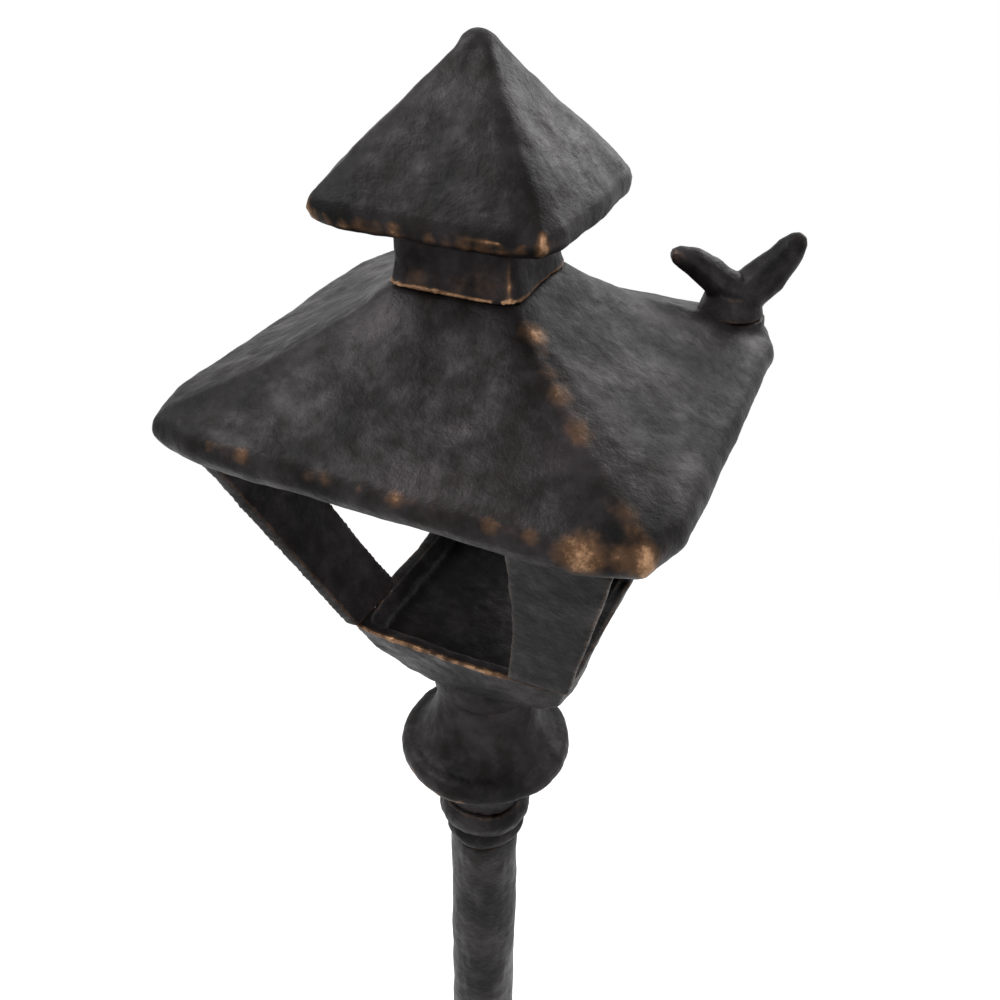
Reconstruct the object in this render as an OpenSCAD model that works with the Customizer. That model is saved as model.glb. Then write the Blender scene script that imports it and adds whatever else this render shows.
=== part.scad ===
// A small cast-metal street lantern: a square, tapering lantern with open windows stands on a round pole,
// under a
// pyramid roof with a chimney and a cap. A bird is perched on one corner of the roof.
// Millimetres, +Z up. The origin is the middle of the underside, and the lantern's sides lie along X and Y.
// Corners are called front (+X -Y), right (+X +Y), back (-X +Y) and left (-X -Y), as the front view shows
// them.

/* [Felt and plinth] */
// Thickness of the felt under the plinth
felt_t = 1.5; // [0.8:0.1:3]
// How far the felt stops short of the plinth's edge
felt_margin = 3; // [1:0.5:8]
// Side of the square plinth
plinth_side = 78; // [70:1:100]
// Height of the plinth
plinth_h = 13.5; // [11:0.5:20]
// Height of the plinth's upright edge
plinth_edge_h = 8; // [5:0.5:9]
// Diameter of the recess for the bolt's head
recess_d = 22; // [18:0.5:28]
// Depth of that recess
recess_depth = 7; // [5.5:0.5:9]

/* [Pedestal and pole] */
// Side of the pedestal's square foot
pedestal_side = 38; // [30:1:48]
// Height of the pedestal
pedestal_h = 34; // [24:1:50]
// Diameter of the pedestal's round top
pedestal_top_d = 16; // [14:0.5:20]
// Diameter of the ring at the pole's foot
foot_ring_d = 17.5; // [15:0.5:22]
// Height of that ring
foot_ring_h = 5; // [3:0.5:9]
// Diameter of the pole under its rings
pole_d = 10.8; // [9:0.1:13]
// Diameter of the pole at its foot
pole_foot_d = 12.6; // [10:0.1:15]
// Length of the pole
pole_h = 149; // [110:0.5:180]

/* [Rings and disc] */
// Diameter of the lower ring
lower_ring_d = 12.4; // [11:0.1:16]
// Height of the lower ring
lower_ring_h = 4; // [3:0.1:8]
// Diameter of the upper ring
upper_ring_d = 14.2; // [12:0.1:18]
// Height of the upper ring
upper_ring_h = 4.6; // [3:0.1:8]
// Diameter of the collar where it carries the disc
collar_top_d = 17; // [14:0.5:21]
// Diameter of the collar's narrow lower end
collar_foot_d = 11.8; // [10:0.1:14]
// Height of the collar
collar_h = 8.9; // [6:0.1:15]
// Diameter of the disc
disc_d = 24.8; // [22:0.1:32]
// Thickness of the disc at its rim
disc_t = 4; // [2.5:0.1:6]
// Diameter at which the disc's flared top carries the lantern
flare_d = 12.8; // [10:0.1:14]
// Height of that flare above the rim
flare_h = 9.5; // [6:0.1:14]

/* [Lantern] */
// Diameter of the boss under the lantern
boss_d = 15; // [14:0.1:18]
// Height of the boss
boss_h = 4.5; // [4:0.1:8]
// Rise from the boss to the lower edge of the lantern's walls
underside_h = 7.8; // [5:0.1:11]
// Height of the walls under the windows
apron_h = 4.4; // [3:0.1:8]
// Side of the lantern at the lower edge of its walls
lantern_foot_side = 27; // [24:0.1:28.5]
// Side of the lantern at the sill
sill_side = 30; // [29:0.1:33]
// Side of the lantern under the roof
lantern_top_side = 47.4; // [42:0.1:50]
// Height of the windows, from the sill to the roof
window_h = 26.6; // [22:0.1:38]
// Thickness of the walls and posts
wall_t = 1.8; // [1.4:0.1:2.4]
// Thickness of the lantern's floor over the boss
floor_t = 1.8; // [1.2:0.1:3]
// Width of a post at the sill
post_foot_w = 7; // [4:0.1:9]
// Width of the front post at the sill
front_post_foot_w = 7.8; // [3.5:0.1:9]
// Width of the left post at the sill
left_post_foot_w = 9.8; // [6:0.1:12]
// Width of a post under the roof
post_top_w = 11.6; // [6:0.1:14]
// How much narrower a post is between its foot and its head
post_waist = 0.9; // [0:0.1:1.5]

/* [Roof, neck and cap] */
// Side of the square roof
roof_side = 60; // [54:0.5:66]
// Thickness of the roof's edge
roof_edge_t = 5.2; // [3:0.1:7]
// Height of the roof, from its underside to the foot of the neck
roof_h = 17.2; // [13:0.1:20]
// Thickness of the roof's slopes
roof_wall_t = 3.2; // [2.4:0.1:4.5]
// How much the roof's slopes sag, as in a bell, from 0 to 1
roof_sag = 0.25; // [0:0.05:0.6]
// Width of the flat ledge inside the posts' heads
ledge_w = 1; // [0.5:0.1:3]
// Side of the square neck
neck_side = 14.4; // [12:0.1:18]
// Height of the neck
neck_h = 7; // [4:0.1:12]
// Side of the square cap
cap_side = 27.2; // [22:0.1:32]
// Thickness of the cap's edge
cap_edge_t = 3.6; // [2:0.1:5]
// Height of the cap
cap_h = 17.4; // [13:0.1:24]
// How much the cap's slopes sag, from 0 to 1
cap_sag = 0; // [0:0.05:0.5]

/* [Bird] */
// Diameter of the round seat that the bird is perched on
perch_d = 9; // [7:0.1:11]
// Height of the seat above the roof's edge
perch_rise = 1.4; // [1:0.1:4]
// Distance from the roof's corner back to the middle of the seat, along X and along Y
perch_inset = 7.6; // [6:0.1:10]
// Scale of the bird
bird_scale = 1; // [0.8:0.05:1.3]
// Direction in which the bird looks, counted from +X towards +Y
bird_turn = 24; // [0:1:90]

/* [Fastenings] */
// Diameter of the bolt that clamps the foot
bolt_d = 5; // [4:0.5:6]
// How far the bolt reaches into the pole
bolt_grip = 14; // [8:1:24]
// Diameter of the spigot on top of the pole
spigot_d = 6.4; // [5.5:0.1:7.4]
// How far the spigot reaches into the boss
spigot_grip = 10; // [8:0.5:14]
// Diameter of the pin through the boss and the spigot
cross_pin_d = 2; // [1.5:0.1:2.6]
// How far the cross pin's ends lie under the boss's surface
cross_pin_sink = 1; // [0.5:0.1:2]
// Diameter of the stud that holds the cap
stud_d = 3; // [2.5:0.1:4]
// How far the stud reaches into the cap
stud_grip = 7; // [5:0.5:9]
// Diameter of the pegs in the ends of the posts
peg_d = 0.8; // [0.6:0.05:1]
// How deep a peg goes into each side
peg_depth = 1.6; // [1:0.1:2.4]
// Diameter of the peg under the bird
bird_peg_d = 2; // [1.5:0.1:3]
// How deep that peg goes into the roof and into the bird
bird_peg_depth = 2.6; // [1.5:0.1:3]
// Gap all round a shaft in its hole
fit_gap = 0.1; // [0.05:0.01:0.2]

/* [Hidden] */

// Heights at which the pieces meet, from the felt's underside up
plinth_z = felt_t;
pedestal_z = plinth_z + plinth_h;
foot_ring_z = pedestal_z + pedestal_h;
pole_z = foot_ring_z + foot_ring_h;
lower_ring_z = pole_z + pole_h;
upper_ring_z = lower_ring_z + lower_ring_h;
collar_z = upper_ring_z + upper_ring_h;
disc_z = collar_z + collar_h;
tray_z = disc_z + disc_t + flare_h;
lantern_foot_z = tray_z + boss_h + underside_h;
sill_z = lantern_foot_z + apron_h;
soffit_z = sill_z + window_h;
neck_z = soffit_z + roof_h;
cap_z = neck_z + neck_h;

// How far the middle of the roof, the foot of the lantern and the cap stray from the pole's axis, as on
// the hand-made
// original, and how far the roof's corners stray besides: left, front, right and back
roof_stray = [-0.9, 3.8];
roof_corner_stray = [[-0.6, 0.2], [0, 0], [-0.8, -1], [-2.4, 0]];
lantern_foot_stray = [2.3, 0.8];
cap_stray = [-1.2, -0.5];

// Points in a ring of a square form, of a round form and of the pole
square_n = 40;
round_n = 32;
pole_n = 24;
// Exponents of the rings' outlines: 2 is a circle, and a high one a square with round corners
round_p = 2;
square_p = 10;
sharp_p = 20;
blunt_p = 8;
soft_p = 6;
// Depth of the hollows and bumps that the modeller's fingers left
lump = 0.25;
// How far a cutting body reaches past the face that it cuts
past = 1;
// Sizes of washers, nuts and bolt heads, as multiples of their shaft's diameter
washer_ratio = 2.8;
nut_ratio = 2.1;
head_ratio = 1.85;

metal = "#3b332c";
worn_metal = "#5a4632";
steel = "#8d9096";
felt = "#30483a";

function mix(a, b, t) = a + (b - a) * t;
function ease(t) = t * t * (3 - 2 * t);

// Distance from the middle to a square-to-round outline of half side 1, at the angle a
function reach(a, p) = pow(pow(abs(cos(a)), p) + pow(abs(sin(a)), p), -1 / p);

// Uneven surface: -1 to 1, changing slowly with the angle and the height
function uneven(a, z) = (sin(3 * a + 23 * z) + sin(5 * a - 14 * z + 50) + sin(2 * a + 9 * z + 200)) / 3;

// How far a point strays with the corners of the square that it lies in, where u and v go from -1 to 1
function corner_stray(u, v, corners) =
    ((1 - u) * (1 - v) * corners[0] + (1 + u) * (1 - v) * corners[1]
        + (1 + u) * (1 + v) * corners[2] + (1 - u) * (1 + v) * corners[3]) / 4;

// A ring of the roof, whose corners stray by a share that falls from 1 at the edge to 0 at the neck
function roof_ring(z, half, p, at, share) = [
    for (i = [0:square_n - 1])
        let(
            a = 360 * i / square_n,
            r = reach(a, p),
            lumps = lump * uneven(a, z),
            pull = corner_stray(r * cos(a), r * sin(a), roof_corner_stray) * share
        )
            [at.x + pull.x + (half * r + lumps) * cos(a), at.y + pull.y + (half * r + lumps) * sin(a), z]
];

// One ring of a hand-modelled form: level z, half side, outline exponent, middle, points and depth of the
// lumps
function ring(z, half, p, at = [0, 0], n = square_n, depth = lump) = [
    for (i = [0:n - 1])
        let(a = 360 * i / n, r = half * reach(a, p) + depth * uneven(a, z))
            [at.x + r * cos(a), at.y + r * sin(a), z]
];

// A closed form through rings that follow each other, with a flat face on the first and on the last
module loft(rings) {
    n = len(rings[0]);
    last = len(rings) - 1;
    polyhedron(
        points = [for (one = rings) each one],
        faces = concat(
            [[for (i = [0:n - 1]) i]],
            [for (k = [0:last - 1], i = [0:n - 1])
                [k * n + i, (k + 1) * n + i, (k + 1) * n + (i + 1) % n]],
            [for (k = [0:last - 1], i = [0:n - 1])
                [k * n + i, (k + 1) * n + (i + 1) % n, k * n + (i + 1) % n]],
            [[for (i = [n - 1:-1:0]) last * n + i]]
        )
    );
}

// A bulging ring of metal between two levels, as a roll of wax laid round the pole
module bead(z, h, d, bulge = 0.8) {
    loft([for (t = [0, 0.12, 0.3, 0.5, 0.7, 0.88, 1])
        ring(z + h * t, d / 2 - bulge * (1 - sin(180 * t)), round_p, n = round_n, depth = lump * 0.6)]);
}

module bore(z, h, d) {
    translate([0, 0, z]) cylinder(d = d + 2 * fit_gap, h = h, $fn = 48);
}

// A bore right through a piece that reaches from z to z + h
module through_bore(z, h, d) {
    bore(z - past, h + 2 * past, d);
}

// A washer and a six-sided nut round a shaft of diameter d, from the level z up
module washer(z, d) {
    difference() {
        translate([0, 0, z]) cylinder(d = washer_ratio * d, h = washer_t, $fn = 48);
        through_bore(z, washer_t, d);
    }
}
module nut(z, d) {
    difference() {
        translate([0, 0, z]) cylinder(d = nut_ratio * d, h = nut_h, $fn = 6);
        through_bore(z, nut_h, d);
    }
}

module felt_pad() {
    color(felt)
        translate([0, 0, felt_t / 2])
            cube([plinth_side - 2 * felt_margin, plinth_side - 2 * felt_margin, felt_t], center = true);
}

plinth_land_w = 2.5;
plinth_edge_r = 1.2;
module plinth() {
    half = plinth_side / 2;
    land = pedestal_side / 2 + plinth_land_w;
    slope_h = plinth_h - plinth_edge_h;
    color(metal)
        difference() {
            loft(concat(
                [ring(plinth_z, half - plinth_edge_r / 2, square_p)],
                [for (t = [0.15, 0.5, 0.85]) ring(plinth_z + plinth_edge_h * t, half, square_p)],
                [ring(plinth_z + plinth_edge_h, half - plinth_edge_r, square_p)],
                [for (t = [0.25, 0.5, 0.75, 1])
                    ring(plinth_z + plinth_edge_h + slope_h * ease(t), mix(half - plinth_edge_r, land, t),
                        square_p)]
            ));
            translate([0, 0, plinth_z - past]) cylinder(d = recess_d, h = recess_depth + past, $fn = 64);
            through_bore(plinth_z, plinth_h, bolt_d);
        }
}

washer_t = 1;
nut_h = 2.4;
bolt_head_h = 3.2;
base_washer_z = plinth_z + recess_depth - washer_t;
module base_washer() {
    color(steel) washer(base_washer_z, bolt_d);
}

module base_bolt() {
    color(steel) {
        translate([0, 0, base_washer_z - bolt_head_h])
            cylinder(d = head_ratio * bolt_d, h = bolt_head_h, $fn = 6);
        translate([0, 0, base_washer_z])
            cylinder(d = bolt_d, h = pole_z + bolt_grip - base_washer_z, $fn = 48);
    }
}

// How much the pedestal swells above its foot, and how steeply it narrows there
pedestal_swell = 0.5;
pedestal_curve = 0.55;
module pedestal() {
    color(metal)
        difference() {
            loft([for (t = [0, 0.04, 0.1, 0.2, 0.32, 0.46, 0.6, 0.74, 0.87, 0.96, 1])
                ring(pedestal_z + pedestal_h * t,
                    mix(pedestal_side, pedestal_top_d, pow(t, pedestal_curve)) / 2
                        + pedestal_swell * sin(180 * min(1, t * 8)),
                    mix(square_p, round_p, ease(t)))]);
            through_bore(pedestal_z, pedestal_h, bolt_d);
        }
}

module foot_ring() {
    color(metal)
        difference() {
            bead(foot_ring_z, foot_ring_h, foot_ring_d);
            through_bore(foot_ring_z, foot_ring_h, bolt_d);
        }
}

pole_rings = 24;
spigot_top_z = tray_z + spigot_grip;
module pole() {
    color(metal)
        difference() {
            union() {
                loft([for (k = [0:pole_rings])
                    let(t = k / pole_rings)
                        ring(pole_z + pole_h * t, mix(pole_foot_d, pole_d, sqrt(t)) / 2, round_p,
                            n = pole_n)]);
                translate([0, 0, lower_ring_z])
                    cylinder(d = spigot_d, h = spigot_top_z - lower_ring_z, $fn = 48);
            }
            bore(pole_z - past, bolt_grip + 2 * past, bolt_d);
            cross_hole(spigot_d + 2 * past, cross_pin_d);
        }
}

module lower_ring() {
    color(metal)
        difference() {
            bead(lower_ring_z, lower_ring_h, lower_ring_d);
            through_bore(lower_ring_z, lower_ring_h, spigot_d);
        }
}

module upper_ring() {
    color(metal)
        difference() {
            bead(upper_ring_z, upper_ring_h, upper_ring_d);
            through_bore(upper_ring_z, upper_ring_h, spigot_d);
        }
}

module collar() {
    color(metal)
        difference() {
            loft([for (t = [0, 0.2, 0.4, 0.6, 0.8, 1])
                ring(collar_z + collar_h * t, mix(collar_foot_d, collar_top_d, t * t) / 2, round_p,
                    n = round_n)]);
            through_bore(collar_z, collar_h, spigot_d);
        }
}

disc_edge_r = 1;
flare_curve = 2.4;
module disc() {
    rim = disc_d / 2;
    shoulder = rim - 1.2 * disc_edge_r;
    flare = flare_d / 2;
    color(metal)
        difference() {
            loft(concat(
                [for (step = [[0, 1.6], [0.12, 0.6], [0.35, 0], [0.65, 0.1], [0.88, 0.5], [1, 1.2]])
                    ring(disc_z + disc_t * step[0], rim - disc_edge_r * step[1], round_p)],
                [for (t = [0.2, 0.4, 0.6, 0.8, 1])
                    ring(disc_z + disc_t + flare_h * pow(t, flare_curve), mix(shoulder, flare, t),
                        round_p)]
            ));
            through_bore(disc_z, disc_t + flare_h, spigot_d);
        }
}

// How far the lantern's middle has strayed at the level z
function stray_at(z) = lantern_foot_stray * (soffit_z - z) / (soffit_z - lantern_foot_z);
// Half the lantern's outer side at the level z, above the sill
function lantern_half(z) = mix(sill_side, lantern_top_side, (z - sill_z) / window_h) / 2;

floor_z = lantern_foot_z + floor_t;
// Play over the spigot's end, and how the underside's outline curves up from the boss
spigot_play = 0.5;
underside_curve = 1.3;
module lantern_tray() {
    foot = lantern_foot_side / 2;
    sill = sill_side / 2;
    floor_half = mix(foot, sill, floor_t / apron_h) - wall_t;
    color(metal)
        difference() {
            loft(concat(
                [for (step = [[0, 0.6], [0.15, 0.1], [0.5, 0]])
                    ring(tray_z + boss_h * step[0], boss_d / 2 - step[1], round_p)],
                [for (t = [0, 0.3, 0.6, 0.85, 1])
                    ring(tray_z + boss_h + underside_h * pow(t, underside_curve), mix(boss_d / 2, foot, t),
                        mix(round_p, sharp_p, t * t), lantern_foot_stray * t)],
                [ring(sill_z, sill, sharp_p, stray_at(sill_z))],
                [ring(sill_z, sill - wall_t, sharp_p, stray_at(sill_z))],
                [ring(floor_z, floor_half, sharp_p, stray_at(floor_z))]
            ));
            bore(tray_z - past, spigot_grip + past + spigot_play, spigot_d);
            cross_hole(cross_pin_l, cross_pin_d + 2 * fit_gap);
            post_peg_holes();
        }
}

cross_pin_z = tray_z + boss_h / 2;
cross_pin_l = boss_d - 2 * cross_pin_sink;
module cross_hole(length, d) {
    translate([-length / 2, 0, cross_pin_z]) rotate([0, 90, 0]) cylinder(d = d, h = length, $fn = 32);
}

module cross_pin() {
    color(steel) cross_hole(cross_pin_l - 2 * fit_gap, cross_pin_d - 2 * fit_gap);
}

// Each post is a flat plate in one wall and belongs to one corner: wall 0 faces -Y and holds the front
// post, and each
// further wall is a quarter turn on
post_foot_widths = [front_post_foot_w, post_foot_w, post_foot_w, left_post_foot_w];

// The stray at the level z, in the wall's own directions: along it and square to it
function wall_stray(z, wall) =
    let(at = stray_at(z))
        [at.x * cos(90 * wall) + at.y * sin(90 * wall), at.y * cos(90 * wall) - at.x * sin(90 * wall)];
// Outer face of the wall and the corner's edge in it
function wall_face(z, wall) = wall_stray(z, wall).y - lantern_half(z);
function wall_corner(z, wall) = wall_stray(z, wall).x + lantern_half(z);
// Width of a post at a share t of its height: a little waisted between its foot and its head
function post_width(t, wall) = mix(post_foot_widths[wall], post_top_w, t) - post_waist * sin(180 * t);

// Middle of a post at that share of its height, along the wall
function post_middle(t, wall) = wall_corner(sill_z + window_h * t, wall) - post_width(t, wall) / 2;
// Lean of a wall from upright
function wall_lean(wall) = atan2(wall_face(sill_z, wall) - wall_face(soffit_z, wall), window_h);
// Draws in the plane of a wall: X along it, Y up its slope from the sill, and Z out of it from its inner
// face
module in_wall(wall) {
    rotate([0, 0, 90 * wall])
        translate([0, wall_face(sill_z, wall), sill_z])
            rotate([wall_lean(wall) + 90, 0, 0])
                translate([0, 0, -wall_t]) children();
}

post_overrun = 0.1;
post_steps = 8;
module post(wall) {
    slope = window_h / cos(wall_lean(wall));
    outer_edge = [for (t = [-post_overrun, 1 + post_overrun])
        [wall_corner(sill_z + window_h * t, wall), slope * t]];
    inner_edge = [for (k = [post_steps:-1:0])
        let(t = mix(-post_overrun, 1 + post_overrun, k / post_steps))
            [wall_corner(sill_z + window_h * t, wall) - post_width(t, wall), slope * t]];
    color(metal)
        difference() {
            intersection() {
                in_wall(wall) linear_extrude(wall_t) polygon(concat(outer_edge, inner_edge));
                translate([-roof_side / 2, -roof_side / 2, sill_z]) cube([roof_side, roof_side, window_h]);
            }
            post_peg(wall, peg_d + 2 * fit_gap);
        }
}

// The two pegs of a post stand up its slope, half in the post and half in what it stands on or carries
module post_peg(wall, d) {
    slope = window_h / cos(wall_lean(wall));
    rise = wall_t / 2 * tan(wall_lean(wall));
    for (t = [0, 1])
        in_wall(wall)
            translate([post_middle(t, wall), slope * t - rise, wall_t / 2])
                rotate([-90, 0, 0]) cylinder(d = d, h = 2 * peg_depth, center = true, $fn = 24);
}

module post_peg_holes() {
    for (wall = [0:3]) post_peg(wall, peg_d + 2 * fit_gap);
}

module front_post() { post(0); }
module right_post() { post(1); }
module back_post() { post(2); }
module left_post() { post(3); }

module post_pegs() {
    color(steel) for (wall = [0:3]) post_peg(wall, peg_d);
}

// Share of the way up a slope that sags like a bell, where t goes from its edge to its top
function sagging(t, sag) = mix(t, t * t * t, sag);

// How much wider the roof's top is than the neck, how wide its rounded rim is, and how high the bird's
// seat reaches
// down into it
roof_land_w = 0.6;
roof_rim_r = 2;
perch_root = 1.5;
// Half the width of the hollow's top under the neck
hollow_top = 5.5;
perch_z = soffit_z + roof_edge_t + perch_rise;
perch_at = [roof_side / 2 - perch_inset, roof_side / 2 - perch_inset] + roof_stray;
module roof() {
    half = roof_side / 2;
    slope_h = roof_h - roof_edge_t;
    hollow = lantern_top_side / 2 - wall_t - ledge_w;
    hollow_h = roof_h - roof_wall_t;
    color(metal)
        difference() {
            union() {
                loft(concat(
                    [for (t = [0, 0.35, 0.7, 1])
                        ring(soffit_z + hollow_h * (1 - t), mix(hollow_top, hollow, t), soft_p, depth = 0)],
                    [for (step = [[0, 1.5], [0.15, 0.6], [0.4, 0], [0.65, 0.2], [0.85, 0.8],
                        [1, roof_rim_r]])
                        roof_ring(soffit_z + roof_edge_t * step[0], half - step[1], square_p, roof_stray, 1)],
                    [for (t = [0.12, 0.25, 0.4, 0.55, 0.7, 0.85, 1])
                        roof_ring(soffit_z + roof_edge_t + slope_h * sagging(t, roof_sag),
                            mix(half - roof_rim_r, neck_side / 2 + roof_land_w, t), mix(square_p, blunt_p, t),
                            roof_stray * (1 - t) + cap_stray * t, 1 - t)]
                ));
                translate([perch_at.x, perch_at.y, soffit_z + perch_root])
                    cylinder(d = perch_d, h = perch_z - soffit_z - perch_root, $fn = 48);
            }
            bore(soffit_z, roof_h + past, stud_d);
            post_peg_holes();
            bird_peg_at(perch_z - bird_peg_depth, bird_peg_depth + past, bird_peg_d + 2 * fit_gap);
        }
}

module bird_peg_at(z, h, d) {
    translate([perch_at.x, perch_at.y, z]) cylinder(d = d, h = h, $fn = 32);
}

roof_washer_z = soffit_z + roof_h - roof_wall_t - washer_t;
module roof_washer() {
    color(steel) washer(roof_washer_z, stud_d);
}

module roof_nut() {
    color(steel) nut(roof_washer_z - nut_h, stud_d);
}

// How far the stud's end stands out of the nut
stud_end = 1;
module cap_stud() {
    stud_z = roof_washer_z - nut_h - stud_end;
    color(steel) translate([0, 0, stud_z]) cylinder(d = stud_d, h = cap_z + stud_grip - stud_z, $fn = 48);
}

module neck() {
    color(worn_metal)
        difference() {
            loft([for (step = [[0, 0.6], [0.15, 0.25], [0.4, 0], [0.7, 0.05], [1, 0.3]])
                ring(neck_z + neck_h * step[0], neck_side / 2 + step[1], blunt_p, cap_stray)]);
            through_bore(neck_z, neck_h, stud_d);
        }
}

// Rounding of the cap's rim, height and radius of its rounded tip, and play over the stud's end
cap_rim_r = 0.7;
tip_h = 1.6;
tip_r = 2.1;
tip_p = 4;
stud_play = 1;
module cap() {
    half = cap_side / 2;
    slope_h = cap_h - cap_edge_t - tip_h;
    color(metal)
        difference() {
            loft(concat(
                [for (step = [[0, 1.2], [0.2, 0.3], [0.5, 0], [0.8, 0.3], [1, 0.9]])
                    ring(cap_z + cap_edge_t * step[0], half - step[1], square_p, cap_stray)],
                [for (t = [0.15, 0.3, 0.45, 0.6, 0.75, 0.88, 1])
                    ring(cap_z + cap_edge_t + slope_h * sagging(t, cap_sag), mix(half - cap_rim_r, tip_r, t),
                        mix(square_p, tip_p, t), cap_stray)],
                [for (a = [30, 60, 80])
                    ring(cap_z + cap_h - tip_h * (1 - sin(a)), tip_r * cos(a), round_p, cap_stray, depth = 0)]
            ));
            bore(cap_z - past, stud_grip + past + stud_play, stud_d);
        }
}

// The bird's line from the tip of its tail over its body to its beak. Each step is forward, up, half
// height and
// half breadth
bird_line = [
    [-8.3, 7.7, 0.5, 0.7], [-7.5, 7.4, 1.2, 1.4], [-5.6, 6.7, 1.7, 1.9], [-3.5, 5.3, 2, 2.2],
    [-1.6, 3.8, 2.2, 2.6], [0.4, 2.8, 2.4, 3], [2.3, 3.4, 2.7, 3], [4, 5, 2.6, 2.6],
    [5.4, 6.9, 2.1, 2.2], [6.3, 8.4, 1.9, 1.9], [7.1, 9.6, 1.3, 1.4], [7.5, 10.2, 0.5, 0.6]
];
bird_n = 16;
bird_foot_d = 8.4;
bird_foot_top_d = 6.7;
bird_foot_h = 3;

// One ring round the bird's line, square to it
function bird_ring(k) =
    let(
        last = len(bird_line) - 1,
        step = bird_line[k],
        ahead = bird_line[min(last, k + 1)],
        behind = bird_line[max(0, k - 1)],
        lean = atan2(ahead[1] - behind[1], ahead[0] - behind[0])
    )
        [for (i = [0:bird_n - 1])
            let(a = 360 * i / bird_n, rise = step[2] * cos(a), side = -step[3] * sin(a))
                [step[0] - rise * sin(lean), side, step[1] + rise * cos(lean)]];

module bird() {
    color(metal)
        difference() {
            translate([perch_at.x, perch_at.y, perch_z]) rotate([0, 0, bird_turn]) scale(bird_scale) {
                loft([for (k = [0:len(bird_line) - 1]) bird_ring(k)]);
                cylinder(d1 = bird_foot_d, d2 = bird_foot_top_d, h = bird_foot_h, $fn = 48);
            }
            bird_peg_at(perch_z - past, bird_peg_depth + past, bird_peg_d + 2 * fit_gap);
        }
}

module bird_peg() {
    color(steel) bird_peg_at(perch_z - bird_peg_depth, 2 * bird_peg_depth, bird_peg_d);
}

felt_pad();
plinth();
base_bolt();
base_washer();
pedestal();
foot_ring();
pole();
lower_ring();
upper_ring();
collar();
disc();
lantern_tray();
cross_pin();
front_post();
right_post();
back_post();
left_post();
post_pegs();
roof();
roof_washer();
roof_nut();
cap_stud();
neck();
cap();
bird();
bird_peg();
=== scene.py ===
"""Dresses the small cast-bronze street lantern: modelled skins, a dark worn patina and a studio."""

import logging
import math
from dataclasses import dataclass, field
from enum import Enum
from typing import Any

import bmesh
import bpy
import numpy as np
from mathutils import Matrix, Vector


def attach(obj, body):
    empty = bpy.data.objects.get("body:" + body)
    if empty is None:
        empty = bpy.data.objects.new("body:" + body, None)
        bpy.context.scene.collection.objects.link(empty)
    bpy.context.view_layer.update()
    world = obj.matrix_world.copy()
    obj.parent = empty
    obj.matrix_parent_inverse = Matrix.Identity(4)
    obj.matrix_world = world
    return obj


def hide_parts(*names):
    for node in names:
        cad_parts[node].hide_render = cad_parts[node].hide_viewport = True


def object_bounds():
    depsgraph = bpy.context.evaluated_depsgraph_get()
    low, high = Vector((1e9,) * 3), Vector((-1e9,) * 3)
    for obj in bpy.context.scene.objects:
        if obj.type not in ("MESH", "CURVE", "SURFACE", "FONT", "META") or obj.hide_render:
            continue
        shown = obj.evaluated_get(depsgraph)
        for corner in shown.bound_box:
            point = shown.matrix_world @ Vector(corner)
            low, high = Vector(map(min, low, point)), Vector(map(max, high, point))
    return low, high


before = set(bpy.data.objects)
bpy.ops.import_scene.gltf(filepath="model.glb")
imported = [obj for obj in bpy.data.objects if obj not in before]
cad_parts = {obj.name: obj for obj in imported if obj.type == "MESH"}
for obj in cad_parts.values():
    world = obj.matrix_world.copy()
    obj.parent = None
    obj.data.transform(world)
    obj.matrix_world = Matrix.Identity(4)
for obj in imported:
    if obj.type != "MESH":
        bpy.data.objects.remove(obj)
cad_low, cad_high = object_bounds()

LOG = logging.getLogger("street_lantern")
MM = 0.001
ROOT = "root"
SEEN_RAYS = ("Is Camera Ray", "Is Glossy Ray", "Is Transmission Ray")
WHITE = (1.0, 1.0, 1.0, 1.0)
# Where a Mix node keeps its two colours and its mixed colour
MIX_FIRST = 6
MIX_SECOND = 7
MIX_RESULT = 2
# Points of a mesh that are nearer than this, in metres, are one
SAME_POINT = 1e-6
# How a row of rubbed spots varies: the share of the swing, and its beat from spot to spot
REACH_SWING = 0.3
REACH_BEAT = 5.1
STRENGTH_SWING = 0.25
STRENGTH_BEAT = 2.7
Point = tuple[float, float, float]
Colour = tuple[float, float, float]


class Finish(Enum):
    """The finishes of the lantern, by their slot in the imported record."""

    PATINA = "patinated_metal"
    WORN = "worn_metal"
    STEEL = "steel"
    FELT = "felt"


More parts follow.
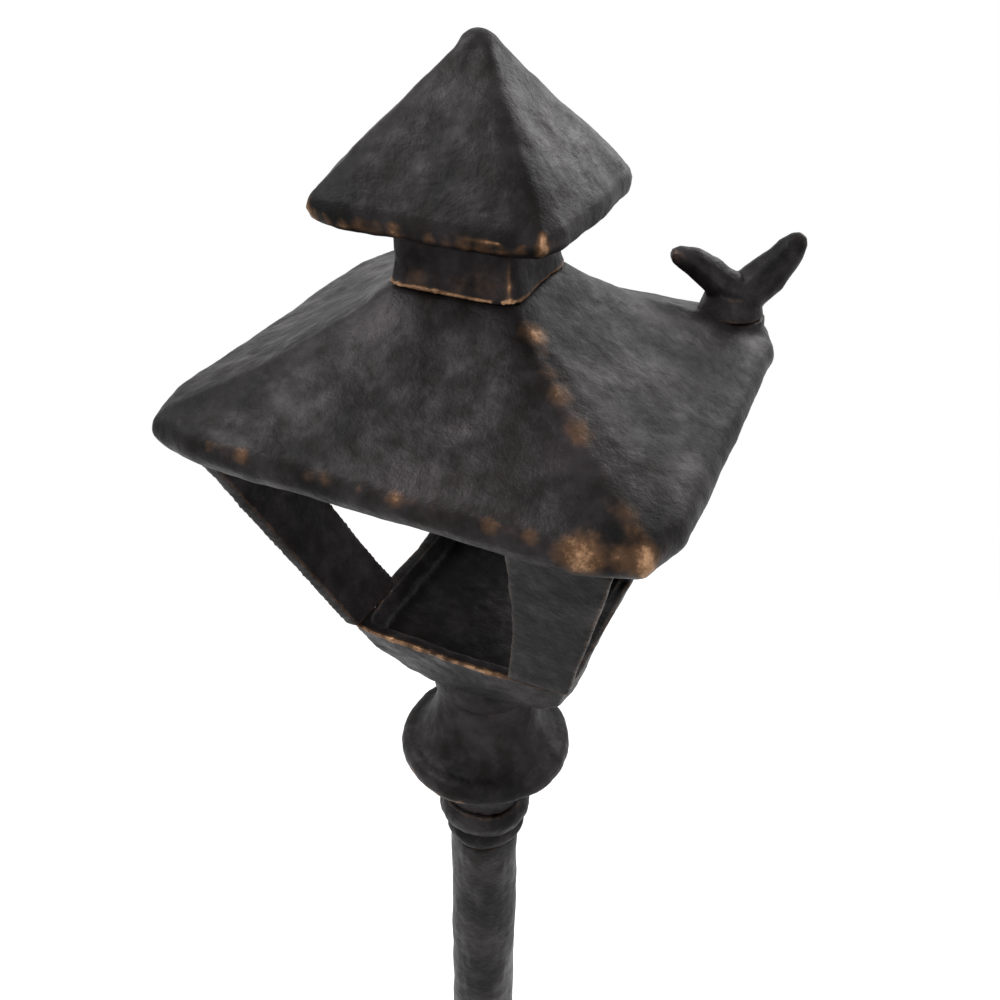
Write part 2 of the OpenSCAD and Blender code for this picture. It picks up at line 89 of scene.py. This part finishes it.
class Value:
    """A number on a socket of a node tree. Python's operators on it add Math nodes."""

    def __init__(self, graph: "Graph", socket: bpy.types.NodeSocket) -> None:
        """Keeps the tree and the socket."""
        self.graph = graph
        self.socket = socket

    def math(self, operation: str, *others: Any) -> "Value":
        """Adds one Math node.

        Args:
            operation: The Math node's operation.
            others: The other operands, as values or numbers, in the node's order.

        Returns:
            The result.
        """
        inputs = dict(enumerate((self, *others)))
        node = self.graph.node("ShaderNodeMath", {"operation": operation}, inputs)
        return Value(self.graph, node.outputs[0])

    def reflected(self, operation: str, other: Any) -> "Value":
        """Adds a Math node whose first operand is a plain number.

        Args:
            operation: The Math node's operation.
            other: The first operand.

        Returns:
            The result.
        """
        node = self.graph.node("ShaderNodeMath", {"operation": operation}, {0: other, 1: self})
        return Value(self.graph, node.outputs[0])

    def __add__(self, other: Any) -> "Value":
        """The sum."""
        return self.math("ADD", other)

    __radd__ = __add__

    def __mul__(self, other: Any) -> "Value":
        """The product."""
        return self.math("MULTIPLY", other)

    __rmul__ = __mul__

    def __sub__(self, other: Any) -> "Value":
        """The difference."""
        return self.math("SUBTRACT", other)

    def __rsub__(self, other: Any) -> "Value":
        """A number minus this value."""
        return self.reflected("SUBTRACT", other)

    def clamped(self) -> "Value":
        """The value kept between 0 and 1."""
        return self.math("MAXIMUM", 0.0).math("MINIMUM", 1.0)

    def ramp(self, low: float, high: float) -> "Value":
        """A smooth step.

        Args:
            low: Where the result is 0.
            high: Where the result is 1.

        Returns:
            The step between them, kept between 0 and 1.
        """
        span = {"Value": self, "From Min": low, "From Max": high, "To Min": 0.0, "To Max": 1.0}
        node = self.graph.node("ShaderNodeMapRange", {"interpolation_type": "SMOOTHSTEP"}, span)
        return Value(self.graph, node.outputs[0])


class Graph:
    """A node tree that is built from Python expressions."""

    def __init__(self, tree: bpy.types.NodeTree) -> None:
        """Keeps the tree and empties it."""
        self.tree = tree
        tree.nodes.clear()

    def node(self, kind: str, settings: dict[str, Any], inputs: dict[int | str, Any]) -> bpy.types.Node:
        """Adds a node.

        Args:
            kind: The node's type.
            settings: Its settings, which are set first.
            inputs: Its inputs, by index or name: a value, a socket, or a plain number or tuple.

        Returns:
            The node.
        """
        node = self.tree.nodes.new(kind)
        for name, setting in settings.items():
            setattr(node, name, setting)
        for key, given in inputs.items():
            if isinstance(given, Value):
                given = given.socket
            if isinstance(given, bpy.types.NodeSocket):
                self.tree.links.new(given, node.inputs[key])
            else:
                node.inputs[key].default_value = given
        return node

    def noise(
        self, place: Any, size: float, detail: float, roughness: float = 0.55, seed: float = 0.0
    ) -> Value:
        """Adds a 4D noise.

        Args:
            place: The coordinates, as a socket.
            size: The size of its lumps in metres.
            detail: Its finer layers.
            roughness: How strong they are.
            seed: Where along its fourth dimension it is read.

        Returns:
            The noise, about 0 to 1.
        """
        inputs = {"Vector": place, "W": seed, "Scale": 1 / size, "Detail": detail, "Roughness": roughness}
        node = self.node("ShaderNodeTexNoise", {"noise_dimensions": "4D"}, inputs)
        return Value(self, node.outputs[0])

    def scaled(self, place: Any, by: Any) -> bpy.types.NodeSocket:
        """Multiplies coordinates.

        Args:
            place: The coordinates, as a socket.
            by: A vector, as a tuple or socket.

        Returns:
            The scaled coordinates.
        """
        node = self.node("ShaderNodeVectorMath", {"operation": "MULTIPLY"}, {0: place, 1: by})
        return node.outputs[0]

    def seen_rays(self) -> Value:
        """Tells the rays that show the background from the rays that light the lantern.

        Returns:
            1 for rays from the camera, a reflection or a glass, and 0 for the others.
        """
        rays = self.node("ShaderNodeLightPath", {}, {})
        return sum((Value(self, rays.outputs[ray]) for ray in SEEN_RAYS), start=0.0).clamped()


class MetalShader(Graph):
    """The node tree of one material."""

    def __init__(self, name: str) -> None:
        """Makes the material with its surface shader and its object coordinates."""
        self.material = bpy.data.materials.new(name)
        self.material.use_nodes = True
        super().__init__(self.material.node_tree)
        self.surface = self.node("ShaderNodeBsdfPrincipled", {}, {})
        self.output = self.node("ShaderNodeOutputMaterial", {}, {"Surface": self.surface.outputs[0]})
        self.place = self.node("ShaderNodeTexCoord", {}, {}).outputs["Object"]

    def attribute(self, name: str) -> Value:
        """Reads a number that the mesh carries.

        Args:
            name: The attribute's name.

        Returns:
            Its value.
        """
        node = self.node("ShaderNodeAttribute", {"attribute_name": name}, {})
        return Value(self, node.outputs["Fac"])

    def blend(self, factor: Value, first: Any, second: Any) -> bpy.types.NodeSocket:
        """Mixes two colours.

        Args:
            factor: The share of the second.
            first: A colour or socket.
            second: A colour or socket.

        Returns:
            The mixed colour.
        """
        first, second = (
            given if isinstance(given, bpy.types.NodeSocket) else (*given, 1.0)
            for given in (first, second)
        )
        inputs = {0: factor, MIX_FIRST: first, MIX_SECOND: second}
        return self.node("ShaderNodeMix", {"data_type": "RGBA"}, inputs).outputs[MIX_RESULT]

    def bump(self, height: Value, distance: float, strength: float) -> bpy.types.NodeSocket:
        """Turns a height into a normal.

        Args:
            height: The height, about 0 to 1.
            distance: What a height of 1 is, in metres.
            strength: The bump's strength.

        Returns:
            The normal.
        """
        inputs = {"Height": height, "Distance": distance, "Strength": strength}
        return self.node("ShaderNodeBump", {}, inputs).outputs[0]

    def finish(self, **sockets: Any) -> bpy.types.Material:
        """Sets the surface shader's sockets.

        Args:
            sockets: Values by socket name, with _ for a space.

        Returns:
            The material.
        """
        for name, given in sockets.items():
            target = self.surface.inputs[name.replace("_", " ")]
            if isinstance(given, Value):
                given = given.socket
            if isinstance(given, bpy.types.NodeSocket):
                self.tree.links.new(given, target)
            else:
                target.default_value = given
        return self.material


@dataclass(frozen=True)
class Bronze:
    """Cast bronze with a dark patina, rubbed to the metal where it is touched, with a painted grey sheen.
    Sizes in millimetres.
    """

    name: str
    deep: Colour = (0.0016, 0.0013, 0.0013)
    brown: Colour = (0.0085, 0.0064, 0.0056)
    # Painted sheen: a lighter grey that stands in for reflected light on the faces
    painted_sheen_grey: Colour = (0.0270, 0.0235, 0.0265)
    golden: Colour = (0.140, 0.074, 0.038)
    bright: Colour = (0.330, 0.195, 0.112)
    cloud_size: float = 11.0
    brushed_size: float = 2.6
    grain_size: float = 0.9
    speck_size: float = 0.28
    pit_depth: float = 0.45
    edge_wear: float = 0.75
    wear_start: float = 0.62

    def material(self) -> bpy.types.Material:
        """Builds the patina.

        Returns:
            The material.
        """
        shader = MetalShader(self.name)
        cloud = shader.noise(shader.place, self.cloud_size * MM, 3.0, seed=3.0)
        brushed = shader.noise(shader.place, self.brushed_size * MM, 5.0, 0.62, seed=7.0)
        grain = shader.noise(shader.place, self.grain_size * MM, 4.0, 0.6, seed=1.0)
        speck = shader.noise(shader.place, self.speck_size * MM, 2.0, seed=5.0)
        relief = shader.attribute("relief")
        hollow = (relief * -1.0).ramp(0.05, 0.7)
        touched = relief.ramp(0.12, 0.9) * self.edge_wear + shader.attribute("rub")
        patchy = (brushed - 0.5) * 0.7 + (grain - 0.5) * 0.5
        wear = (touched + patchy - self.wear_start).ramp(-0.06, 0.8)
        core = (wear * (speck + grain)).ramp(0.5, 1.3)
        # Painted sheen: patches lightened to grey that stand in for reflected light; the same mask also
        # lowers the roughness
        painted_sheen = (cloud * 0.6 + brushed * 0.6).ramp(0.5, 0.8)
        colour = shader.blend(cloud.ramp(0.3, 0.7), self.deep, self.brown)
        colour = shader.blend(painted_sheen * 0.75, colour, self.painted_sheen_grey)
        colour = shader.blend(hollow * 0.7, colour, self.deep)
        colour = shader.blend(wear * 0.85, colour, self.golden)
        colour = shader.blend(core, colour, self.bright)
        height = brushed * 0.55 + grain * 0.3 + speck * 0.12
        return shader.finish(
            Base_Color=colour,
            Metallic=(wear * 0.65 + 0.25).clamped(),
            Roughness=(0.40 + (1 - painted_sheen) * 0.14 + (grain - 0.5) * 0.25 - wear * 0.06).clamped(),
            Specular_IOR_Level=0.12,
            Normal=shader.bump(height, self.pit_depth * MM, 0.75),
        )


@dataclass(frozen=True)
class Steel:
    """Plain turned steel, for bolts, studs, pins and nuts."""

    name: str = "turned_steel"
    pale: Colour = (0.46, 0.46, 0.47)
    dull: Colour = (0.26, 0.255, 0.25)
    turning: Point = (0.15, 0.15, 4.0)

    def material(self) -> bpy.types.Material:
        """Builds the steel.

        Returns:
            The material.
        """
        shader = MetalShader(self.name)
        turned = shader.noise(shader.scaled(shader.place, self.turning), 1.4 * MM, 4.0, seed=2.0)
        stain = shader.noise(shader.place, 3.5 * MM, 4.0, seed=9.0)
        return shader.finish(
            Base_Color=shader.blend(stain.ramp(0.35, 0.7), self.pale, self.dull),
            Metallic=0.95,
            Roughness=0.3 + stain * 0.25,
            Normal=shader.bump(turned, 0.1 * MM, 0.4),
        )


@dataclass(frozen=True)
class Felt:
    """Pressed wool felt, under the plinth."""

    name: str = "green_felt"
    wool: Colour = (0.030, 0.068, 0.046)
    fluff: Colour = (0.075, 0.125, 0.090)
    fibre_run: Point = (1.0, 3.5, 1.0)

    def material(self) -> bpy.types.Material:
        """Builds the felt.

        Returns:
            The material.
        """
        shader = MetalShader(self.name)
        matted = shader.noise(shader.place, 1.1 * MM, 6.0, 0.7, seed=4.0)
        fibre = shader.noise(shader.scaled(shader.place, self.fibre_run), 0.5 * MM, 5.0, 0.7, seed=8.0)
        return shader.finish(
            Base_Color=shader.blend((matted * 0.6 + fibre * 0.5).ramp(0.4, 0.75), self.wool, self.fluff),
            Roughness=0.95,
            Sheen_Weight=0.4,
            Sheen_Roughness=0.6,
            Normal=shader.bump(matted + fibre, 0.3 * MM, 0.8),
        )


class ModelledSurface:
    """The Geometry Nodes tree that gives a casting the lumps and dents of its hand-modelled original."""

    SIZES = ("Lump size", "Lump depth", "Dent size", "Dent depth", "Seed")
    # The noise's usual value, and what brings its swing to about 1 either way
    MIDDLE = 0.55
    GAIN = 3.2
    # How far the dents are read from the lumps along the noise's fourth dimension
    DENT_SEED = 17.0

    def __init__(self) -> None:
        """Builds the tree once, for all castings."""
        self.tree = bpy.data.node_groups.new("hand_modelled_surface", "GeometryNodeTree")
        graph = Graph(self.tree)
        self.add_socket("Casting", "NodeSocketGeometry")
        self.keys = {name: self.add_socket(name, "NodeSocketFloat") for name in self.SIZES}
        self.keys["Grain"] = self.add_socket("Grain", "NodeSocketVector")
        self.keys["Metal"] = self.add_socket("Metal", "NodeSocketMaterial")
        self.add_socket("Casting", "NodeSocketGeometry", "OUTPUT")
        given = graph.node("NodeGroupInput", {}, {})
        lump_size, lump_depth, dent_size, dent_depth, seed = (
            Value(graph, given.outputs[name]) for name in self.SIZES
        )
        position = graph.node("GeometryNodeInputPosition", {}, {}).outputs[0]
        place = graph.scaled(position, given.outputs["Grain"])
        lumps = self.layer(graph, place, lump_size, seed, 1.0) * lump_depth
        dents = self.layer(graph, place, dent_size, seed + self.DENT_SEED, 3.0) * dent_depth
        normal = graph.node("GeometryNodeInputNormal", {}, {}).outputs[0]
        inputs = {0: normal, "Scale": lumps + dents}
        offset = graph.node("ShaderNodeVectorMath", {"operation": "SCALE"}, inputs).outputs[0]
        inputs = {"Geometry": given.outputs["Casting"], "Offset": offset}
        moved = graph.node("GeometryNodeSetPosition", {}, inputs).outputs[0]
        smooth = graph.node("GeometryNodeSetShadeSmooth", {}, {"Geometry": moved}).outputs[0]
        real = graph.node("GeometryNodeRealizeInstances", {}, {"Geometry": smooth}).outputs[0]
        inputs = {"Geometry": real, "Material": given.outputs["Metal"]}
        metal = graph.node("GeometryNodeSetMaterial", {}, inputs).outputs[0]
        graph.node("NodeGroupOutput", {}, {0: metal})

    def add_socket(self, name: str, kind: str, way: str = "INPUT") -> str:
        """Adds an input or output to the tree.

        Args:
            name: Its name.
            kind: Its socket's type.
            way: INPUT or OUTPUT.

        Returns:
            The identifier by which a modifier sets it.
        """
        return self.tree.interface.new_socket(name=name, in_out=way, socket_type=kind).identifier

    def layer(
        self, graph: Graph, place: bpy.types.NodeSocket, size: Value, seed: Value, detail: float
    ) -> Value:
        """Adds one layer of lumps.

        Args:
            graph: The tree's graph.
            place: The coordinates.
            size: The size of its lumps in metres.
            seed: The seed.
            detail: Its finer layers.

        Returns:
            The layer, about -1 to 1.
        """
        scale = size.reflected("DIVIDE", 1.0)
        inputs = {"Vector": place, "W": seed, "Scale": scale, "Detail": detail, "Roughness": 0.5}
        node = graph.node("ShaderNodeTexNoise", {"noise_dimensions": "4D"}, inputs)
        return (Value(graph, node.outputs[0]) - self.MIDDLE) * self.GAIN

    def add_to(self, piece: bpy.types.Object, sizes: dict[str, Any]) -> None:
        """Puts the tree on a piece as its last modifier.

        Args:
            piece: The piece.
            sizes: The tree's inputs, by name.
        """
        modifier = piece.modifiers.new("hand_modelled", "NODES")
        modifier.node_group = self.tree
        for name, size in sizes.items():
            modifier[self.keys[name]] = size


@dataclass(frozen=True)
class Rub:
    """A spot where the patina is rubbed off, in millimetres."""

    at: Point
    reach: float
    strength: float = 1.0


@dataclass(frozen=True)
class Skin:
    """How one casting's surface is modelled over its CAD solid. Sizes in millimetres."""

    voxel: float = 0.42
    soften: int = 5
    lump_size: float = 8.0
    lump_depth: float = 0.16
    dent_size: float = 2.2
    dent_depth: float = 0.085
    grain: Point = (1.0, 1.0, 1.0)
    seed: float = 1.0
    rubs: tuple[Rub, ...] = ()


@dataclass
class Foundry:
    """Makes the skins and keeps the finishes."""

    surface: ModelledSurface = field(default_factory=ModelledSurface)
    finishes: dict[Finish, bpy.types.Material] = field(default_factory=dict)
    quick_voxel: float = 1.6

    def cast(self, node: str, skin: Skin, finish: Finish = Finish.PATINA) -> None:
        """Makes the skin of a CAD node, which replaces the node.

        Args:
            node: The node's name.
            skin: How its surface is modelled.
            finish: Its finish.
        """
        form = self.merged_copy(node)
        mesh = bpy.data.meshes.new(node + "_skin")
        form.to_mesh(mesh)
        form.free()
        rough = bpy.data.objects.new(node + "_rough", mesh)
        bpy.context.scene.collection.objects.link(rough)
        coarse = 1.0
        remesh = rough.modifiers.new("melt", "REMESH")
        remesh.mode = "VOXEL"
        remesh.voxel_size = skin.voxel * coarse * MM
        smooth = rough.modifiers.new("soften", "SMOOTH")
        smooth.factor = 0.5
        smooth.iterations = skin.soften
        sizes = {
            "Lump size": skin.lump_size * MM,
            "Lump depth": skin.lump_depth * MM,
            "Dent size": skin.dent_size * MM,
            "Dent depth": skin.dent_depth * MM,
            "Seed": skin.seed,
            "Grain": skin.grain,
            "Metal": self.finishes[finish],
        }
        self.surface.add_to(rough, sizes)
        piece = self.plain(rough, node + "_skin")
        self.model(piece, skin.rubs)
        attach(piece, ROOT)
        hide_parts(node)
        LOG.info("%s: %d vertices", piece.name, len(piece.data.vertices))

    @staticmethod
    def merged_copy(node: str) -> bmesh.types.BMesh:
        """Copies a CAD node's mesh.

        Args:
            node: The node's name.

        Returns:
            The copy, with its loose triangles merged.
        """
        form = bmesh.new()
        form.from_mesh(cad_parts[node].data)
        bmesh.ops.remove_doubles(form, verts=form.verts, dist=SAME_POINT)
        return form

    @staticmethod
    def plain(rough: bpy.types.Object, name: str) -> bpy.types.Object:
        """Turns an object with modifiers into one with a plain mesh.

        Args:
            rough: The object, which is removed.
            name: The name of the new object.

        Returns:
            The plain object.
        """
        graph = bpy.context.evaluated_depsgraph_get()
        mesh = bpy.data.meshes.new_from_object(rough.evaluated_get(graph))
        spent = rough.data
        bpy.data.objects.remove(rough)
        bpy.data.meshes.remove(spent)
        mesh.name = name
        piece = bpy.data.objects.new(name, mesh)
        bpy.context.scene.collection.objects.link(piece)
        return piece

    def model(self, piece: bpy.types.Object, rubs: tuple[Rub, ...]) -> None:
        """Keeps the surface in the CAD box and marks where its patina is worn.

        Args:
            piece: The piece.
            rubs: Where it is rubbed.
        """
        mesh = piece.data
        points = np.empty(len(mesh.vertices) * 3)
        mesh.vertices.foreach_get("co", points)
        points = points.reshape(-1, 3)
        points = np.clip(points, np.array(cad_low), np.array(cad_high))
        mesh.vertices.foreach_set("co", points.ravel())
        mesh.update()
        relief = self.relief(mesh, points)
        rub = np.zeros(len(points))
        for spot in rubs:
            away = np.linalg.norm(points - np.array(spot.at) * MM, axis=1) / (spot.reach * MM)
            rub = np.maximum(rub, spot.strength * np.exp(-away * away))
        for name, values in (("relief", relief), ("rub", rub)):
            attribute = mesh.attributes.new(name, "FLOAT", "POINT")
            attribute.data.foreach_set("value", values.astype(np.float32))

    @staticmethod
    def relief(mesh: bpy.types.Mesh, points: np.ndarray, passes: int = 3, full: float = 0.9) -> np.ndarray:
        """Works out where the surface stands out and where it is hollow.

        Args:
            mesh: The mesh.
            points: Its points.
            passes: How often the result is evened out.
            full: The curvature, per millimetre, that counts as 1.

        Returns:
            One number a point: 1 on a sharp edge, -1 in a sharp hollow.
        """
        count = len(points)
        edges = np.empty(len(mesh.edges) * 2, dtype=np.int64)
        mesh.edges.foreach_get("vertices", edges)
        edges = edges.reshape(-1, 2)
        normals = np.empty(count * 3)
        mesh.vertex_normals.foreach_get("vector", normals)
        normals = normals.reshape(-1, 3)
        first, second = edges.T
        run = points[first] - points[second]
        length = np.maximum(np.linalg.norm(run, axis=1), SAME_POINT * MM)
        bend = np.sum((normals[first] - normals[second]) * run, axis=1) / (length * length) * MM
        met = np.bincount(first, minlength=count) + np.bincount(second, minlength=count)
        shared = np.maximum(met, 1)
        values = (np.bincount(first, bend, count) + np.bincount(second, bend, count)) / shared
        for _ in range(passes):
            around = np.bincount(first, values[second], count) + np.bincount(second, values[first], count)
            values = 0.5 * values + 0.5 * around / shared
        return np.clip(values / full, -1, 1)

    def dress(self, node: str, finish: Finish) -> None:
        """Gives a CAD node that stays as it is its finish.

        Args:
            node: The node's name.
            finish: The finish.
        """
        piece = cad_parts[node]
        if not piece.data.materials:
            piece.data.materials.append(None)
        for slot in piece.material_slots:
            slot.material = self.finishes[finish]
        LOG.info("%s: dressed in %s", node, finish.value)


def rubbed_line(start: Point, end: Point, count: int, reach: float, strength: float) -> tuple[Rub, ...]:
    """Rubs a row of spots along a line, larger and smaller, stronger and weaker by turns.

    Args:
        start: Where the line starts, in millimetres.
        end: Where it ends.
        count: How many spots it has.
        reach: The size of a spot.
        strength: How far the patina is rubbed off.

    Returns:
        The spots.
    """
    spots = []
    for k in range(count):
        share = k / max(count - 1, 1)
        at = tuple(a + (b - a) * share for a, b in zip(start, end))
        wider = 1 + REACH_SWING * math.sin(REACH_BEAT * k)
        stronger = 1 + STRENGTH_SWING * math.sin(STRENGTH_BEAT * k + 1)
        spots.append(Rub(at, reach * wider, strength * stronger))
    return tuple(spots)


@dataclass
class Foot:
    """Felt, plinth, pedestal and the ring at the pole's foot."""

    foundry: Foundry
    plinth: Skin = Skin(voxel=0.6, soften=6, lump_size=12, lump_depth=0.2, dent_size=3, seed=21)
    pedestal: Skin = Skin(voxel=0.5, soften=5, lump_size=9, lump_depth=0.2, dent_size=2.6, seed=22)
    ring: Skin = Skin(voxel=0.36, lump_size=5, lump_depth=0.14, seed=23)

    def build(self) -> None:
        """Builds and dresses the pieces."""
        self.foundry.cast("plinth", self.plinth)
        self.foundry.cast("pedestal", self.pedestal)
        self.foundry.cast("foot_ring", self.ring)
        self.foundry.dress("felt_pad", Finish.FELT)
        self.foundry.dress("base_bolt", Finish.STEEL)
        self.foundry.dress("base_washer", Finish.STEEL)


@dataclass
class Column:
    """The pole, its rings, and the collar and disc that carry the lantern."""

    foundry: Foundry
    pole: Skin = Skin(
        lump_size=6, lump_depth=0.22, dent_size=1.9, dent_depth=0.14, grain=(1.0, 1.0, 0.3), seed=31
    )
    rings: Skin = Skin(
        voxel=0.3, soften=4, lump_size=4, lump_depth=0.22, dent_size=1.5, dent_depth=0.12, seed=32
    )
    disc: Skin = Skin(
        voxel=0.32, lump_size=6, lump_depth=0.22, dent_size=1.8, dent_depth=0.1, seed=33,
        rubs=rubbed_line((-6.5, -10.5, 222), (1.5, -12.2, 221), 6, 1.5, 0.8),
    )

    def build(self) -> None:
        """Builds and dresses the pieces."""
        self.foundry.cast("pole", self.pole)
        self.foundry.cast("lower_ring", self.rings)
        self.foundry.cast("upper_ring", self.rings)
        self.foundry.cast("collar", self.rings)
        self.foundry.cast("disc", self.disc)


@dataclass
class LanternBody:
    """The tray with its sill, the four posts, and what pins them."""

    foundry: Foundry
    tray: Skin = Skin(
        voxel=0.36, soften=4, lump_size=6, lump_depth=0.2, dent_size=1.8, dent_depth=0.12, seed=41,
        rubs=rubbed_line((-12.5, -14.0, 250), (8.0, -14.4, 250), 12, 1.3, 0.5),
    )
    post: Skin = Skin(voxel=0.3, lump_size=7, dent_size=2, dent_depth=0.08, seed=42)

    def build(self) -> None:
        """Builds and dresses the pieces."""
        self.foundry.cast("lantern_tray", self.tray)
        for corner in ("front", "right", "back", "left"):
            self.foundry.cast(corner + "_post", self.post)
        self.foundry.dress("post_pegs", Finish.STEEL)
        self.foundry.dress("cross_pin", Finish.STEEL)


@dataclass
class RoofTop:
    """The roof, neck and cap with their stud."""

    foundry: Foundry
    roof: Skin = Skin(
        voxel=0.46, soften=5, lump_size=9, lump_depth=0.24, dent_size=2.4, dent_depth=0.1, seed=51,
        rubs=rubbed_line((-26, -26.2, 281.5), (24, -26.4, 281.5), 26, 1.5, 0.95)
        + rubbed_line((8.5, -8.0, 292.0), (27.0, -24.5, 283.0), 12, 2.6, 0.95)
        + rubbed_line((21.0, -25.8, 280.5), (28.5, -24.5, 281.0), 5, 3.6, 0.95),
    )
    neck: Skin = Skin(
        voxel=0.3, soften=4, lump_size=5, lump_depth=0.2, dent_size=1.8, dent_depth=0.12, seed=52,
        rubs=rubbed_line((-5.0, -7.8, 295.5), (5.0, -8.0, 296.5), 5, 2.6, 0.45),
    )
    cap: Skin = Skin(
        voxel=0.34, soften=5, lump_size=7, lump_depth=0.2, dent_size=2.2, dent_depth=0.09, seed=53,
        rubs=rubbed_line((-13.0, -13.8, 302.6), (11.0, -13.8, 302.6), 14, 1.3, 0.85)
        + (Rub((12.0, -13.2, 303.5), 2.4, 0.7),),
    )

    def build(self) -> None:
        """Builds and dresses the pieces."""
        self.foundry.cast("roof", self.roof)
        self.foundry.cast("neck", self.neck, Finish.WORN)
        self.foundry.cast("cap", self.cap)
        for name in ("roof_washer", "roof_nut", "cap_stud"):
            self.foundry.dress(name, Finish.STEEL)


@dataclass
class Bird:
    """The bird on the roof's right corner."""

    foundry: Foundry
    skin: Skin = Skin(voxel=0.22, lump_size=4, lump_depth=0.1, dent_size=1.2, dent_depth=0.06, seed=61)

    def build(self) -> None:
        """Builds and dresses the pieces."""
        self.foundry.cast("bird", self.skin)
        self.foundry.dress("bird_peg", Finish.STEEL)


@dataclass(frozen=True)
class Lamp:
    """A soft square lamp. Sizes in metres, power in watts."""

    name: str
    place: Point
    side: float
    power: float


@dataclass
class Studio:
    """The camera of the photograph, a pale floor and soft light. Sizes in metres, angles in degrees."""

    eye: Point = (0.0430, -0.0940, 0.3346)
    pitch: float = 34.02
    yaw: float = -23.75
    roll: float = 1.02
    lens: float = 35.95
    sensor: float = 36.0
    nearest: float = 0.005
    floor_side: float = 12.0
    floor_drop: float = 0.0002
    floor_colour: Colour = (0.86, 0.86, 0.86)
    white_from: float = 0.12
    white_to: float = 0.45
    ambient: float = 0.75
    aim: Point = (0.0, 0.0, 0.27)
    lamps: tuple[Lamp, ...] = (
        Lamp("key", (-0.55, -0.25, 0.95), 0.55, 9.0),
        Lamp("fill", (0.65, -0.75, 0.55), 0.7, 4.0),
        Lamp("back", (0.25, 0.85, 0.75), 0.6, 5.0),
    )

    def build(self) -> None:
        """Builds the camera, the floor, the world and the lamps."""
        self.camera()
        self.floor()
        self.world()
        for lamp in self.lamps:
            self.hang(lamp)
        bpy.context.scene.view_settings.view_transform = "Standard"

    def camera(self) -> None:
        """Places the camera where the photograph was taken from."""
        data = bpy.data.cameras.new("photographer")
        data.sensor_width = self.sensor
        data.lens = self.lens
        data.clip_start = self.nearest
        camera = bpy.data.objects.new("photographer", data)
        pitch, yaw, roll = (math.radians(angle) for angle in (self.pitch, self.yaw, self.roll))
        level_ahead = Vector((math.sin(yaw), math.cos(yaw), 0.0))
        ahead = level_ahead * math.cos(pitch) - Vector((0.0, 0.0, math.sin(pitch)))
        level = Vector((math.cos(yaw), -math.sin(yaw), 0.0))
        upward = level.cross(ahead)
        right = math.cos(roll) * level + math.sin(roll) * upward
        upward = math.cos(roll) * upward - math.sin(roll) * level
        turn = Matrix((right, upward, -ahead)).transposed().to_4x4()
        camera.matrix_world = Matrix.Translation(self.eye) @ turn
        bpy.context.scene.collection.objects.link(camera)
        bpy.context.scene.camera = camera

    def floor(self) -> None:
        """Lays the pale floor."""
        form = bmesh.new()
        bmesh.ops.create_grid(form, x_segments=1, y_segments=1, size=self.floor_side / 2)
        mesh = bpy.data.meshes.new("floor")
        form.to_mesh(mesh)
        form.free()
        floor = bpy.data.objects.new("floor", mesh)
        floor.location.z = -self.floor_drop
        bpy.context.scene.collection.objects.link(floor)
        mesh.materials.append(self.floor_material())

    def floor_material(self) -> bpy.types.Material:
        """Makes the floor pale under the lantern, and as white as the world further off.

        Returns:
            The material.
        """
        shader = MetalShader("pale_floor")
        shader.finish(Base_Color=(*self.floor_colour, 1.0), Roughness=0.9, Specular_IOR_Level=0.1)
        length = shader.node("ShaderNodeVectorMath", {"operation": "LENGTH"}, {0: shader.place})
        far = Value(shader, length.outputs["Value"]).ramp(self.white_from, self.white_to)
        glow = shader.node("ShaderNodeEmission", {}, {"Color": WHITE, "Strength": 1.0})
        inputs = {0: shader.seen_rays() * far, 1: shader.surface.outputs[0], 2: glow.outputs[0]}
        mixed = shader.node("ShaderNodeMixShader", {}, inputs)
        shader.tree.links.new(mixed.outputs[0], shader.output.inputs["Surface"])
        return shader.material

    def world(self) -> None:
        """Makes the world white where it is seen or reflected, and a soft light elsewhere."""
        world = bpy.data.worlds.new("white_studio")
        world.use_nodes = True
        graph = Graph(world.node_tree)
        strength = self.ambient + graph.seen_rays() * (1 - self.ambient)
        light = graph.node("ShaderNodeBackground", {}, {"Color": WHITE, "Strength": strength})
        graph.node("ShaderNodeOutputWorld", {}, {"Surface": light.outputs[0]})
        bpy.context.scene.world = world

    def hang(self, lamp: Lamp) -> None:
        """Hangs a lamp that points at the lantern.

        Args:
            lamp: The lamp.
        """
        data = bpy.data.lights.new(lamp.name, "AREA")
        data.size = lamp.side
        data.energy = lamp.power
        hung = bpy.data.objects.new(lamp.name, data)
        hung.location = lamp.place
        hung.rotation_mode = "QUATERNION"
        hung.rotation_quaternion = (Vector(self.aim) - Vector(lamp.place)).to_track_quat("-Z", "Y")
        bpy.context.scene.collection.objects.link(hung)


def main() -> None:
    """Builds the lantern piece by piece and sets up the studio."""
    logging.basicConfig(level=logging.INFO, format="%(name)s: %(message)s")
    foundry = Foundry()
    foundry.finishes = {
        Finish.PATINA: Bronze("bronze_patina").material(),
        Finish.WORN: Bronze("bronze_worn", wear_start=0.36).material(),
        Finish.STEEL: Steel().material(),
        Finish.FELT: Felt().material(),
    }
    for part in (Foot, Column, LanternBody, RoofTop, Bird):
        part(foundry).build()
    Studio().build()


if __name__ == "__main__":
    main()
